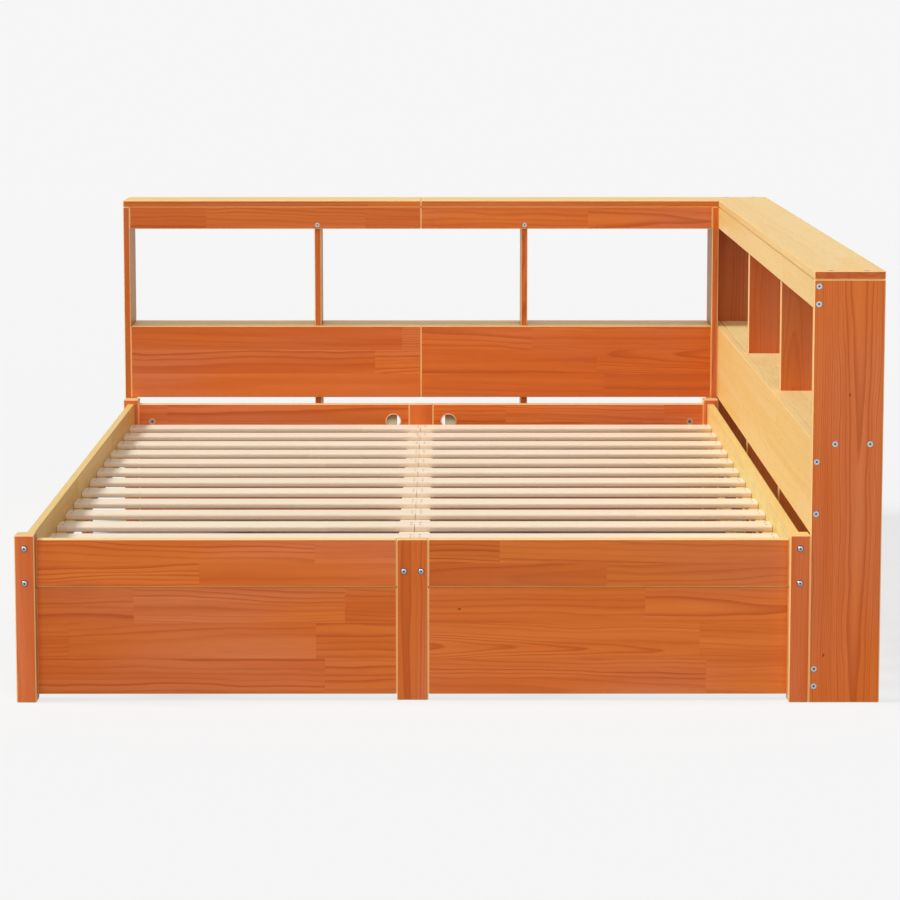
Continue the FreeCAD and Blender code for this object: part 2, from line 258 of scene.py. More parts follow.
class NodeSketch:
    """Adds nodes to one tree. A value may be a number, a colour or another node's output."""

    def __init__(self, tree):
        self.tree = tree

    def add(self, kind, **settings):
        node = self.tree.nodes.new(kind)
        for name, value in settings.items():
            setattr(node, name, value)
        return node

    def feed(self, socket, value):
        if isinstance(value, bpy.types.NodeSocket):
            self.tree.links.new(value, socket)
        elif socket.type == "RGBA" and len(value) == 3:
            socket.default_value = (*value, 1)
        else:
            socket.default_value = value

    def math(self, operation, first, second=0.0, clamp=False):
        node = self.add("ShaderNodeMath", operation=operation, use_clamp=clamp)
        self.feed(node.inputs[0], first)
        self.feed(node.inputs[1], second)
        return node.outputs[0]

    def plus(self, first, second, clamp=False):
        return self.math("ADD", first, second, clamp)

    def minus(self, first, second, clamp=False):
        return self.math("SUBTRACT", first, second, clamp)

    def times(self, first, second, clamp=False):
        return self.math("MULTIPLY", first, second, clamp)

    def above(self, value, least):
        return self.math("GREATER_THAN", value, least)

    def vector(self, operation, first, second=(0, 0, 0)):
        node = self.add("ShaderNodeVectorMath", operation=operation)
        self.feed(node.inputs[0], first)
        self.feed(node.inputs[1], second)
        return node.outputs["Value" if operation == "LENGTH" else "Vector"]

    def split(self, vector):
        node = self.add("ShaderNodeSeparateXYZ")
        self.feed(node.inputs[0], vector)
        return node.outputs

    def join(self, x, y, z):
        node = self.add("ShaderNodeCombineXYZ")
        for socket, value in zip(node.inputs, (x, y, z)):
            self.feed(socket, value)
        return node.outputs[0]

    def remap(self, value, low, high, to_low=0.0, to_high=1.0):
        node = self.add("ShaderNodeMapRange", interpolation_type="SMOOTHSTEP")
        names = ("Value", "From Min", "From Max", "To Min", "To Max")
        for name, given in zip(names, (value, low, high, to_low, to_high)):
            self.feed(node.inputs[name], given)
        return node.outputs["Result"]

    def mix(self, share, first, second):
        node = self.add("ShaderNodeMix", data_type="RGBA")
        self.feed(node.inputs["Factor"], share)
        self.feed(node.inputs["A"], first)
        self.feed(node.inputs["B"], second)
        return node.outputs["Result"]

    def noise(self, vector, detail=2.0):
        node = self.add("ShaderNodeTexNoise")
        self.feed(node.inputs["Vector"], vector)
        self.feed(node.inputs["Scale"], 1.0)
        self.feed(node.inputs["Detail"], detail)
        return node.outputs["Fac"]

    def dice(self, value):
        node = self.add("ShaderNodeTexWhiteNoise", noise_dimensions="1D")
        self.feed(node.inputs["W"], value)
        return node.outputs["Value"]

    def group(self, tree, **values):
        node = self.add("ShaderNodeGroup", node_tree=bpy.data.node_groups[tree])
        for name, value in values.items():
            self.feed(node.inputs[name.replace("_", " ").title()], value)
        return node.outputs


FIGURE, FACES = "Pine figure", "Board faces"


def new_group(name, takes, gives):
    """A node group: a sketch of it and its two ends. Plank is a place, the rest are numbers."""
    tree = bpy.data.node_groups.new(name, "ShaderNodeTree")
    for way, names in (("INPUT", takes), ("OUTPUT", gives)):
        for socket in names:
            kind = "NodeSocketVector" if socket == "Plank" else "NodeSocketFloat"
            tree.interface.new_socket(socket, in_out=way, socket_type=kind)
    sketch = NodeSketch(tree)
    return sketch, sketch.add("NodeGroupInput").outputs, sketch.add("NodeGroupOutput").inputs


# How the pine grew, in metres where it is a length. Triples run along the grain, over it and inward.
SWAYS_A_METRE = (3.2, 16, 16)
STREAKS_A_METRE = (1.3, 34, 34)
FIBRES_A_METRE = (18, 620, 620)
PATCHES_A_METRE = (1.6, 5, 5)
PITH_TO_THE_SIDE = 0.17
PITH_DEPTH = 0.05
PITH_LEAST_DEPTH = 0.014
SWAY_OF_RINGS = 0.03
SLOPE_OF_GRAIN = 0.055
CROWDS_A_METRE = 24
CROWDING_OF_RINGS = 0.034
RING_SPREAD = (0.55, 1.5)
LINE_SPREAD = (0.4, 1.1)
LATE_WOOD, RING_END = (0.45, 0.92), (0.9, 1.0)
RING_WEIGHTS = (0.35, 1.0)
BLOCK_TONE, STREAK_TONE, PALE_TONE = 0.45, 1.3, 0.4
BLUSH_FROM = (0.42, 0.68)
KNOTS_A_METRE = (1.9, 6.5)
KNOT_LENGTHENING = 0.6
KNOT_RADII = (0.001, 0.0032)
BARE_OF_KNOTS = 0.7


def pine_figure_group():
    """Growth lines, block tones, fibre and knots of pine strips glued side by side.
    Plank is in metres: X along the grain, Y over the strips, Z into the wood.
    Odd factors of seeds and keys only set the dice apart."""
    gives = ("Tone", "Line", "Fibre", "Knot", "Blush")
    draw, start, end = new_group(FIGURE, ("Plank", "Seed", "Strip", "Block", "Ring"), gives)
    plank, seed = start["Plank"], start["Seed"]
    x, y, z = draw.split(plank)
    strip = draw.math("FLOOR", draw.math("DIVIDE", y, start["Strip"]))
    strip_key = draw.plus(draw.times(strip, 17.31), draw.times(seed, 5.77))

    blocks = draw.add("ShaderNodeTexVoronoi", voronoi_dimensions="1D")
    place = draw.plus(draw.math("DIVIDE", x, start["Block"]), draw.times(strip_key, 3.7))
    draw.feed(blocks.inputs["W"], place)
    draw.feed(blocks.inputs["Scale"], 1.0)
    block_key = blocks.outputs["Color"]
    pith_side, pith_depth, tilt = draw.split(block_key)

    drift = draw.vector("MULTIPLY", block_key, (41, 57, 23))
    sway_place = draw.vector("ADD", draw.vector("MULTIPLY", plank, SWAYS_A_METRE), drift)
    sway = draw.minus(draw.noise(sway_place), 0.5)
    middle = draw.times(draw.plus(strip, 0.5), start["Strip"])
    across = draw.minus(y, middle)
    across = draw.plus(across, draw.times(draw.minus(pith_side, 0.5), PITH_TO_THE_SIDE))
    across = draw.plus(across, draw.times(sway, SWAY_OF_RINGS))
    depth = draw.plus(z, draw.times(pith_depth, PITH_DEPTH))
    depth = draw.plus(depth, PITH_LEAST_DEPTH)
    radius = draw.vector("LENGTH", draw.join(across, depth, 0))
    slope = draw.times(draw.minus(tilt, 0.5), SLOPE_OF_GRAIN)
    radius = draw.plus(radius, draw.times(slope, x))
    crowding_place = draw.vector("ADD", draw.join(draw.times(radius, CROWDS_A_METRE), 0, 0), drift)
    crowding = draw.minus(draw.noise(crowding_place, 1.0), 0.5)
    radius = draw.plus(radius, draw.times(crowding, CROWDING_OF_RINGS))
    spacing = draw.remap(draw.dice(draw.times(pith_side, 531)), 0.0, 1.0, *RING_SPREAD)
    ring = draw.math("DIVIDE", radius, draw.times(start["Ring"], spacing))
    phase = draw.math("FRACT", ring)
    rise = draw.remap(phase, *LATE_WOOD)
    fall = draw.remap(phase, *RING_END, 1.0, 0.0)
    weight = draw.dice(draw.plus(draw.math("FLOOR", ring), draw.times(pith_side, 91)))
    line = draw.times(rise, fall)
    line = draw.times(line, draw.remap(weight, 0.0, 1.0, *RING_WEIGHTS))
    strength = draw.remap(draw.dice(draw.times(tilt, 977)), 0.0, 1.0, *LINE_SPREAD)
    line = draw.times(line, strength)

    streak_place = draw.vector("ADD", draw.vector("MULTIPLY", plank, STREAKS_A_METRE), drift)
    streak = draw.noise(streak_place, 3.0)
    tone = draw.plus(draw.times(pith_depth, BLOCK_TONE), draw.times(streak, STREAK_TONE))
    tone = draw.minus(tone, PALE_TONE, clamp=True)

    fibre = draw.noise(draw.vector("MULTIPLY", plank, FIBRES_A_METRE), 2.0)

    spots = draw.add("ShaderNodeTexVoronoi", voronoi_dimensions="2D")
    spread = draw.vector("MULTIPLY", plank, (*KNOTS_A_METRE, 0))
    spot_place = draw.vector("ADD", spread, draw.join(strip_key, seed, 0))
    draw.feed(spots.inputs["Vector"], spot_place)
    draw.feed(spots.inputs["Scale"], 1.0)
    away = draw.vector("SUBTRACT", spot_place, spots.outputs["Position"])
    back = (KNOT_LENGTHENING / KNOTS_A_METRE[0], 1 / KNOTS_A_METRE[1], 0)
    away = draw.vector("LENGTH", draw.vector("MULTIPLY", away, back))
    rare = draw.above(draw.split(spots.outputs["Color"])[0], BARE_OF_KNOTS)
    knot = draw.times(draw.remap(away, *KNOT_RADII, 1.0, 0.0), rare)

    patch_place = draw.vector("MULTIPLY", plank, PATCHES_A_METRE)
    patch_place = draw.vector("ADD", patch_place, draw.join(seed, seed, 0))
    blush = draw.remap(draw.noise(patch_place, 1.0), *BLUSH_FROM)

    for name, value in zip(gives, (tone, line, fibre, knot, blush)):
        draw.feed(end[name], value)


def board_faces_group():
    """Which faces look to the front or rear, up or sideways, and which are edges that don't look down."""
    gives = ("Front", "Toward Front", "Edge", "Beside Front", "Up", "Sideways")
    draw, start, end = new_group(FACES, (), gives)
    normal = draw.add("ShaderNodeNewGeometry").outputs["True Normal"]
    x, y, z = draw.split(draw.vector("ABSOLUTE", normal))
    widest = draw.math("MAXIMUM", draw.math("MAXIMUM", x, y), z)
    chamfer = draw.math("LESS_THAN", widest, 0.9)
    upward = draw.above(draw.split(normal)[2], -0.3)
    draw.feed(end["Front"], draw.above(y, 0.9))
    draw.feed(end["Toward Front"], draw.remap(y, 0.15, 0.8))
    # Edges that don't look down, where the edge colours are painted as a highlight.
    draw.feed(end["Edge"], draw.times(chamfer, upward))
    draw.feed(end["Beside Front"], draw.above(y, 0.3))
    draw.feed(end["Up"], draw.above(draw.split(normal)[2], 0.3))
    draw.feed(end["Sideways"], draw.split(normal)[0])


def plank_coordinates(draw, corner, grain, width):
    """Object coordinates turned: X along the grain from the board's corner, Y over its width."""
    axes = {"X": Vector((1, 0, 0)), "Y": Vector((0, 1, 0)), "Z": Vector((0, 0, 1))}
    along, over = axes[grain], axes[width]
    turn = Matrix((along, over, along.cross(over))).transposed().to_euler()
    mapping = draw.add("ShaderNodeMapping", vector_type="TEXTURE")
    draw.feed(mapping.inputs["Vector"], draw.add("ShaderNodeTexCoord").outputs["Object"])
    draw.feed(mapping.inputs["Location"], corner)
    draw.feed(mapping.inputs["Rotation"], turn)
    return mapping.outputs["Vector"]


# Relief of the fibres and of small fittings, in metres.
FIBRE_BUMP, FINE_BUMP = 0.0002, 0.00004


def new_material(name, roughness, metallic=0.0):
    """A material with a principled shader: the material, a sketch of it and the shader's inputs."""
    material = bpy.data.materials.new(name)
    material.use_nodes = True
    draw = NodeSketch(material.node_tree)
    shader = material.node_tree.nodes["Principled BSDF"]
    shader.inputs["Roughness"].default_value = roughness
    shader.inputs["Metallic"].default_value = metallic
    return material, draw, shader.inputs


def bump(draw, height, distance):
    """A normal raised by the height."""
    node = draw.add("ShaderNodeBump")
    draw.feed(node.inputs["Distance"], distance)
    draw.feed(node.inputs["Height"], height)
    return node.outputs["Normal"]


def finish_grain(draw, inputs, colour, figure, roughness):
    """Gives the shader its colour, its gloss and the feel of the fibres."""
    rough = draw.times(draw.minus(figure["Fibre"], 0.5), 0.22)
    draw.feed(inputs["Roughness"], draw.plus(rough, roughness))
    draw.feed(inputs["Base Color"], colour)
    draw.feed(inputs["Normal"], bump(draw, figure["Fibre"], FIBRE_BUMP))


# How strongly the figure shows in the boards' colours, and their gloss.
FRONT_LINES, SIDE_LINES, SLAT_LINES = 0.6, 0.3, 0.4
KNOT_DARKNESS = 0.8
FIBRE_SHADE = 0.35
STAIN_GLOSS, BARE_GLOSS = 0.2, 0.3
# Block lengths of uprights and slats, and the spacing of the slats' rings, in metres.
UPRIGHT_BLOCK, SLAT_BLOCK = 3.0, 0.8
SLAT_RING = 0.009


def front_colour(draw, figure, looks, name):
    """Stained faces to the front and rear, darker or lighter by the board's share."""
    share = STAIN_AND_SHADE_SHARES.get(name, 1.0)
    tones = (looks.front_light, looks.front_blush, looks.front_dark, looks.front_line)
    light, blush, dark, late = [tuple(value * share for value in tone) for tone in tones]
    early = blush if name.startswith("post_") else draw.mix(figure["Blush"], light, blush)
    front = draw.mix(figure["Tone"], early, dark)
    return draw.mix(draw.times(figure["Line"], FRONT_LINES), front, late)


def painted_lit_side_colour(draw, figure, faces, looks, name):
    """Faces to the sides, top and bottom, stained in a painted lit copy of the stain: lighter and yellower,
    as if strongly lit.
    """
    light = looks.rail if name in SIDE_RAILS else looks.side_light
    if name == "side_rail_left":
        light = draw.mix(draw.above(faces["Sideways"], 0.9), light, looks.rail_inside)
    side = draw.mix(figure["Tone"], light, looks.side_dark)
    # Painted light on the faces that look up.
    if name in PAINTED_LIGHT_TOPS:
        top = draw.mix(figure["Tone"], getattr(looks, PAINTED_LIGHT_TOPS[name]), looks.side_light)
        side = draw.mix(faces["Up"], side, top)
    side = draw.mix(draw.times(figure["Line"], SIDE_LINES), side, looks.side_line)
    # Painted shade on the sideways faces inside the bookcase.
    if name in PAINTED_SHADE_SIDES:
        inside = draw.above(draw.times(faces["Sideways"], PAINTED_SHADE_SIDES[name]), 0.9)
        side = draw.mix(inside, side, looks.inside)
    return side


def stained_board_material(name, grain, width, seed, looks):
    """Stained pine for one board, in strips that divide its width evenly."""
    material, draw, inputs = new_material(f"stained pine {name}", looks.roughness)
    inputs["Specular IOR Level"].default_value = STAIN_GLOSS
    low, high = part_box(name)
    breadth = (high - low)["XYZ".index(width)]
    strip, block, ring = breadth / max(1, round(breadth / looks.strip)), looks.block, looks.ring
    if grain == "Z":
        strip, block, ring = breadth, UPRIGHT_BLOCK, looks.upright_ring
    plank = plank_coordinates(draw, low, grain, width)
    figure = draw.group(FIGURE, plank=plank, seed=float(seed), strip=strip, block=block, ring=ring)
    faces = draw.group(FACES)
    front = front_colour(draw, figure, looks, name)
    side = painted_lit_side_colour(draw, figure, faces, looks, name)
    # Front and rear faces take the stain, all other faces its painted lit copy.
    colour = draw.mix(faces["Front"], side, front)
    colour = draw.mix(draw.times(figure["Knot"], KNOT_DARKNESS), colour, looks.knot)
    shade = draw.times(draw.minus(figure["Fibre"], 0.45), FIBRE_SHADE, clamp=True)
    colour = draw.mix(shade, colour, looks.knot)
    # Edges that don't look down get a lighter sanded colour painted as a highlight, beside the joints a
    # darker joint colour.
    edge = draw.mix(faces["Beside Front"], looks.side_edge, looks.front_edge_wear_and_highlight)
    if name in JOINTS:
        edge = draw.mix(faces["Up"], edge, getattr(looks, JOINTS[name]))
    colour = draw.mix(faces["Edge"], colour, edge)
    finish_grain(draw, inputs, colour, figure, looks.roughness)
    return material


def bare_material(name, grain, width, seed, looks):
    """Bare pine for a row of slats or the beam under them."""
    material, draw, inputs = new_material(f"bare pine {name}", looks.roughness)
    inputs["Specular IOR Level"].default_value = BARE_GLOSS
    low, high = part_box(name)
    plank = plank_coordinates(draw, low, grain, width)
    breadth = (high - low)["XYZ".index(width)]
    sizes = {"strip": breadth, "block": SLAT_BLOCK, "ring": SLAT_RING}
    figure = draw.group(FIGURE, plank=plank, seed=float(seed), **sizes)
    faces = draw.group(FACES)
    top = draw.mix(figure["Tone"], looks.top_light, looks.top_dark)
    # Painted shade: faces toward the front and rear darker than the tops.
    front = draw.mix(figure["Tone"], looks.front_light, looks.front_dark)
    colour = draw.mix(draw.times(figure["Line"], SLAT_LINES), top, looks.line)
    colour = draw.mix(faces["Toward Front"], colour, front)
    finish_grain(draw, inputs, colour, figure, looks.roughness)
    return material


# Clouds in the looks of small fittings and of the lids, and where the shadow painted on a lid's upper part
# starts and ends.
CLOUDS_A_METRE, LID_CLOUDS_A_METRE = (700, 700, 700), (300, 300, 300)
CLOUD_SHADE, LID_WAVE = 0.72, 0.003
LID_PAINTED_SHADOW = (-0.006, 0.012)


def cloudy_material(name, colour, roughness, metallic=0.0):
    """A fitting's surface, made once: steel or sanded wood, with faint clouds in colour and gloss."""
    if name in bpy.data.materials:
        return bpy.data.materials[name]
    material, draw, inputs = new_material(name, roughness, metallic)
    place = draw.add("ShaderNodeTexCoord").outputs["Object"]
    cloud = draw.noise(draw.vector("MULTIPLY", place, CLOUDS_A_METRE), 3.0)
    dark = tuple(value * CLOUD_SHADE for value in colour)
    draw.feed(inputs["Base Color"], draw.mix(cloud, colour, dark))
    draw.feed(inputs["Roughness"], draw.plus(draw.times(cloud, 0.2), roughness - 0.1))
    draw.feed(inputs["Normal"], bump(draw, cloud, FINE_BUMP))
    return material


def give_material(node, material):
    """Puts one material in every slot of a CAD node."""
    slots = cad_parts[node].data.materials
    for index in range(len(slots)):
        slots[index] = material


def select_only(pieces):
    """Selects these pieces and makes the first one active."""
    bpy.ops.object.select_all(action="DESELECT")
    for piece in pieces:
        piece.select_set(True)
    bpy.context.view_layer.objects.active = pieces[0]


def start_cylinder(sides, diameter, low, high):
    """A cylinder that stands on its axis Z, alone in the selection and active."""
    bpy.ops.object.select_all(action="DESELECT")
    bpy.ops.mesh.primitive_cylinder_add(
        vertices=sides, radius=diameter / 2, depth=high - low, location=(0, 0, (low + high) / 2)
    )
    bpy.ops.object.transform_apply()
    return bpy.context.active_object


def looks_up(face):
    """Whether a face is at the top of a head."""
    return face.normal.z > 0.9


def looks_down(face):
    """Whether a face is at the bottom of a head."""
    return face.normal.z < -0.9


@contextmanager
def faces_of(piece, chosen):
    """Edit mode with the faces selected that pass a test."""
    bpy.ops.object.mode_set(mode="EDIT")
    bpy.ops.mesh.select_mode(type="FACE")
    bpy.ops.mesh.select_all(action="DESELECT")
    mesh = bmesh.from_edit_mesh(piece.data)
    for face in mesh.faces:
        face.select_set(chosen(face))
    bmesh.update_edit_mesh(piece.data)
    yield
    bpy.ops.object.mode_set(mode="OBJECT")


def raise_faces(piece, chosen, inset, height):
    """Insets the chosen faces and moves them out, or in where the height is below 0."""
    with faces_of(piece, chosen):
        bpy.ops.mesh.inset(thickness=inset)
        bpy.ops.mesh.extrude_region_move(TRANSFORM_OT_translate={"value": (0, 0, height)})


def round_rim(piece, height, offset, segments):
    """Rounds the rim of the face that looks up at a height."""
    lowest = height - 0.00001
    with faces_of(piece, lambda face: looks_up(face) and face.calc_center_median().z > lowest):
        bpy.ops.mesh.bevel(offset=offset, segments=segments, profile=0.5, affect="EDGES")


def cut_away(piece, cutter):
    """Takes the cutter's shape out of the piece and removes the cutter."""
    difference = piece.modifiers.new("Cut", "BOOLEAN")
    difference.operation = "DIFFERENCE"
    difference.object = cutter
    difference.solver = "EXACT"
    bpy.context.view_layer.objects.active = piece
    bpy.ops.object.modifier_apply(modifier=difference.name)
    bpy.data.objects.remove(cutter)


def cut_hex_socket(piece, across_flats, bottom, top):
    """A six-sided socket for a key, open at the top."""
    corners = across_flats / math.cos(math.pi / 6)
    cut_away(piece, start_cylinder(6, corners, bottom, top + 0.001))


def cut_cross_slot(piece, length, width, bottom, top):
    """A cross-shaped recess for a driver, open at the top."""
    for size in ((length, width), (width, length)):
        bpy.ops.object.select_all(action="DESELECT")
        bpy.ops.mesh.primitive_cube_add(size=1, location=(0, 0, (bottom + top) / 2 + 0.0005))
        cutter = bpy.context.active_object
        cutter.scale = (*size, top - bottom + 0.001)
        bpy.ops.object.transform_apply()
        cut_away(piece, cutter)


def in_socket(middle, radius, top):
    """1 in a socket at the middle of a head, 0 elsewhere."""
    return int(math.hypot(middle.x, middle.y) < radius and 0 < middle.z < top)


def finish_template(piece, materials, choose):
    """Gives each face the material that the test picks for its middle, and shades round forms smooth."""
    piece.data.materials.clear()
    for material in materials:
        piece.data.materials.append(material)
    for face in piece.data.polygons:
        face.material_index = choose(face.center)
    select_only([piece])
    bpy.ops.object.shade_smooth_by_angle(angle=math.radians(35))
    return piece


def set_out(template, name, seats):
    """Copies a template to each seat, a point and the way it looks out, and joins the copies."""
    copies = []
    for point, outward in seats:
        copy = template.copy()
        copy.data = template.data.copy()
        turn = Vector(outward).to_track_quat("Z", "Y").to_matrix().to_4x4()
        copy.matrix_world = Matrix.Translation(point) @ turn
        bpy.context.collection.objects.link(copy)
        copies.append(copy)
    bpy.data.objects.remove(template)
    select_only(copies)
    bpy.ops.object.join()
    piece = bpy.context.active_object
    piece.name = name
    piece.data.name = name
    bpy.ops.object.transform_apply()
    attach(piece, BODY)
    return piece


# Places of the fasteners, in metres from the faces and edges of the boards they sit in.
CORNER_BOLT_DROPS = (0.028, 0.1015)
CENTRE_BOLT_OFFSET = 0.018
CENTRE_BOLT_HEIGHT = 0.276
CORNER_BOLT_REACH = 0.092
CENTRE_BOLT_REACH = 0.070
CASE_EDGE_SCREW_DROPS = (0.014, 0.051, 0.381, 0.491, 0.820, 0.857)
CASE_EDGE_SCREW_INSET = 0.0105
SHELF_SCREW_DROP = 0.3435
SHELF_SCREW_INSETS = (0.048, 0.121)
TOP_SCREW_INSETS = (0.035, 0.110)
TOP_SCREW_SETBACK = 0.009
FASCIA_SCREW_RISE = 0.011
CAM_INSET = 0.048
CAM_DROP = 0.049
CABLE_HOLE_OFFSET = 0.077
CABLE_HOLE_DROP = 0.049
SLAT_SCREW_SPREAD = 0.014
SLAT_INNER_SCREWS = (-0.0075, 0.0125)
SLAT_OUTER_SCREW = 0.012
SIDES = {-1: "left", 1: "right"}
FRONTWARD, REARWARD, LEFTWARD, UPWARD = (0, -1, 0), (0, 1, 0), (-1, 0, 0), (0, 0, 1)
ENDS = (("foot", FRONTWARD), ("head", REARWARD))

# Shapes of the fittings: how many sides they have, and lengths in metres.
ROUND_SIDES, CAM_SIDES, SMALL_SIDES, HOLE_SIDES = 28, 32, 12, 48
DOME_SHARE, DOME_STEPS = 0.8, 5
BOLT_KEY, CASE_SCREW_KEY = 0.004, 0.0046
BOLT_SOCKET_DEPTH, BOLT_SOCKET_REACH = 0.0024, 0.0024
SUNK_DEPTH = 0.001
SUNK_FLOOR = 0.00002
COUNTERSINK = 0.0008
CAM_BORE_EDGE = 0.002
COLLAR_WIDTH, COLLAR_HEIGHT, COLLAR_ROUNDING = 0.0014, 0.0008, 0.0006
LINER_PLAY, LINER_WALL = 0.0002, 0.0013
LID_PLAY, LID_THICKNESS, LID_RIM = 0.001, 0.002, 0.002


def post_face(node, outward):
    """The middle line of a post, its outer face and its top."""
    low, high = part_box(node)
    return (low.x + high.x) / 2, low.y if outward == FRONTWARD else high.y, high.z


def corner_bolt_seats():
    """Two bolts in each corner post."""
    seats = []
    for end, outward in ENDS:
        for side in SIDES.values():
            x, y, top = post_face(f"post_{end}_{side}", outward)
            seats += [((x, y, top - drop), outward) for drop in CORNER_BOLT_DROPS]
    return seats


def centre_bolt_seats():
    """Two bolts in each centre post."""
    seats = []
    for end, outward in ENDS:
        x, y, top = post_face(f"centre_post_{end}", outward)
        seats += [((x + side * CENTRE_BOLT_OFFSET, y, CENTRE_BOLT_HEIGHT), outward) for side in SIDES]
    return seats


def end_board_seats(node, outward):
    """The screws of a bookcase's end board: a line near its open edge and two into the shelf."""
    low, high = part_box(node)
    line = [(CASE_EDGE_SCREW_INSET, drop) for drop in CASE_EDGE_SCREW_DROPS]
    shelf = [(inset, SHELF_SCREW_DROP) for inset in SHELF_SCREW_INSETS]
    seats = []
    for inset, drop in line + shelf:
        if outward == LEFTWARD:
            point = (low.x, low.y + inset, high.z - drop)
        else:
            point = (low.x + inset, low.y if outward == FRONTWARD else high.y, high.z - drop)
        seats.append((point, outward))
    return seats


def fascia_screw_seats():
    """One screw through the fascia into each divider of the back bookcase."""
    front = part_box("back_fascia_left")[0]
    seats = []
    for side in SIDES.values():
        low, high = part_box(f"back_divider_{side}")
        seats.append((((low.x + high.x) / 2, front.y, front.z + FASCIA_SCREW_RISE), FRONTWARD))
    return seats


def top_screw_seats():
    """Screws down through the side bookcase's top into its two end boards."""
    low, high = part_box("side_top")
    rows = (low.y + TOP_SCREW_SETBACK, high.y - TOP_SCREW_SETBACK)
    return [((low.x + inset, y, high.z), UPWARD) for inset in TOP_SCREW_INSETS for y in rows]


def middle_line():
    """The bed's centre line, over the beam."""
    low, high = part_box("centre_beam")
    return (low.x + high.x) / 2


def slat_screw_seats():
    """Two screws in each end of each slat."""
    middle_x = middle_line()
    seats = []
    for row in SLAT_ROWS:
        low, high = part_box(row)
        middle_y = (low.y + high.y) / 2
        inner = (middle_x + shift for shift in SLAT_INNER_SCREWS)
        columns = (low.x + SLAT_OUTER_SCREW, *inner, high.x - SLAT_OUTER_SCREW)
        rows = [middle_y + side * SLAT_SCREW_SPREAD for side in SIDES]
        seats += [((x, y, high.z), UPWARD) for x in columns for y in rows]
    return seats


def cam_seats():
    """One cam in the inner face of each head rail, near its corner post."""
    left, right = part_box("head_rail_left"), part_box("head_rail_right")
    height = left[1].z - CAM_DROP
    places = ((left[0].x + CAM_INSET, left[0].y), (right[1].x - CAM_INSET, right[0].y))
    return [((x, y, height), FRONTWARD) for x, y in places]


def cable_hole_seat(side):
    """The middle of a cable hole on the mattress side of its head rail."""
    low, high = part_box(f"head_rail_{SIDES[side]}")
    return (middle_line() + side * CABLE_HOLE_OFFSET, low.y, high.z - CABLE_HOLE_DROP), FRONTWARD


def flush_metals():
    """The dull and the shaded metal of flush heads."""
    looks = bpy.context.scene.pine_bed.hardware
    return cloudy_material("dull zinc", looks.dull_zinc, 0.42, 1.0), hardware_metals()[1]


def hardware_metals():
    """The bright and the shaded metal."""
    looks = bpy.context.scene.pine_bed.hardware
    metal = cloudy_material("bright zinc", looks.zinc, 0.24, 1.0)
    return metal, cloudy_material("socket zinc", looks.socket, 0.5, 1.0)


def sanded_rim():
    """The light sanded wood round a bore."""
    return cloudy_material("sanded rim", bpy.context.scene.pine_bed.stain.front_edge_wear_and_highlight, 0.55)


def lid_wood():
    """The bare wood of the cable holes' lids with a painted shadow toward their tops, where the rail would
    shade them, made once.
    """
    looks = bpy.context.scene.pine_bed.hardware
    if "lid wood" in bpy.data.materials:
        return bpy.data.materials["lid wood"]
    material, draw, inputs = new_material("lid wood", 0.6)
    place = draw.add("ShaderNodeTexCoord").outputs["Object"]
    middle = cable_hole_seat(1)[0][2]
    cloud = draw.noise(draw.vector("MULTIPLY", place, LID_CLOUDS_A_METRE), 3.0)
    wavy = draw.plus(draw.split(place)[2], draw.times(cloud, LID_WAVE))
    in_painted_shadow = draw.remap(wavy, *(middle + far for far in LID_PAINTED_SHADOW))
    draw.feed(inputs["Base Color"], draw.mix(in_painted_shadow, looks.lid, looks.lid_painted_shadow))
    draw.feed(inputs["Normal"], bump(draw, cloud, FINE_BUMP))
    return material


def bolt_template(looks, reach):
    """A bolt with a washer, a domed head, a socket and a shank, its seat at the origin. The socket and the
    washer take the dark metal: painted shade in the socket and a painted shadow round the dome.
    """
    rise, washer = looks.bolt_rise, looks.washer
    piece = start_cylinder(ROUND_SIDES, looks.bolt_head, 0, washer)
    raise_faces(piece, looks_down, (looks.bolt_head - looks.bolt_shank) / 2, -reach)
    raise_faces(piece, looks_up, washer, rise - washer)
    round_rim(piece, rise, (rise - washer) * DOME_SHARE, DOME_STEPS)
    cut_hex_socket(piece, BOLT_KEY, rise - BOLT_SOCKET_DEPTH, rise)
    low, high = washer * 1.01, rise - 0.0001

    def shaded(middle):
        return in_socket(middle, BOLT_SOCKET_REACH, high) or int(0 <= middle.z < low)

    return finish_template(piece, hardware_metals(), shaded)


def flush_screw_template(looks):
    """The head of a bookcase screw: a flat ring round a six-sided socket, in its shaded countersink."""
    rise = looks.flush_rise
    seat = rise * 0.3
    piece = start_cylinder(ROUND_SIDES, looks.case_head + 2 * COUNTERSINK, -SUNK_DEPTH, seat)
    raise_faces(piece, looks_up, COUNTERSINK, rise - seat)
    cut_hex_socket(piece, CASE_SCREW_KEY, SUNK_FLOOR, rise)
    shaded = partial(in_socket, radius=looks.case_head, top=rise * 0.9)
    return finish_template(piece, flush_metals(), shaded)


def slat_screw_template(looks):
    """A small sunk head with a cross slot."""
    diameter, rise = looks.slat_head, looks.flush_rise
    piece = start_cylinder(SMALL_SIDES, diameter, -SUNK_DEPTH, rise)
    round_rim(piece, rise, rise * 0.6, 1)
    cut_cross_slot(piece, diameter * 0.62, diameter * 0.16, SUNK_FLOOR, rise)
    shaded = partial(in_socket, radius=diameter * 0.34, top=rise * 0.9)
    return finish_template(piece, flush_metals(), shaded)


def cam_template(looks):
    """The face of a cam with a cross slot, in the broken edge of its bore."""
    diameter, rise = looks.cam_head, looks.flush_rise
    piece = start_cylinder(CAM_SIDES, diameter + 2 * CAM_BORE_EDGE, -SUNK_DEPTH, rise)
    with faces_of(piece, looks_up):
        bpy.ops.mesh.inset(thickness=CAM_BORE_EDGE, depth=-rise * 0.5)
    cut_cross_slot(piece, diameter * 0.6, diameter * 0.15, SUNK_FLOOR, rise)

    # The slot takes the dark metal as painted shade, the outer ring the sanded rim.
    def choose(middle):
        if math.hypot(middle.x, middle.y) > diameter * 0.46:
            return 2
        return in_socket(middle, diameter * 0.34, rise * 0.4)

    return finish_template(piece, (*flush_metals(), sanded_rim()), choose)


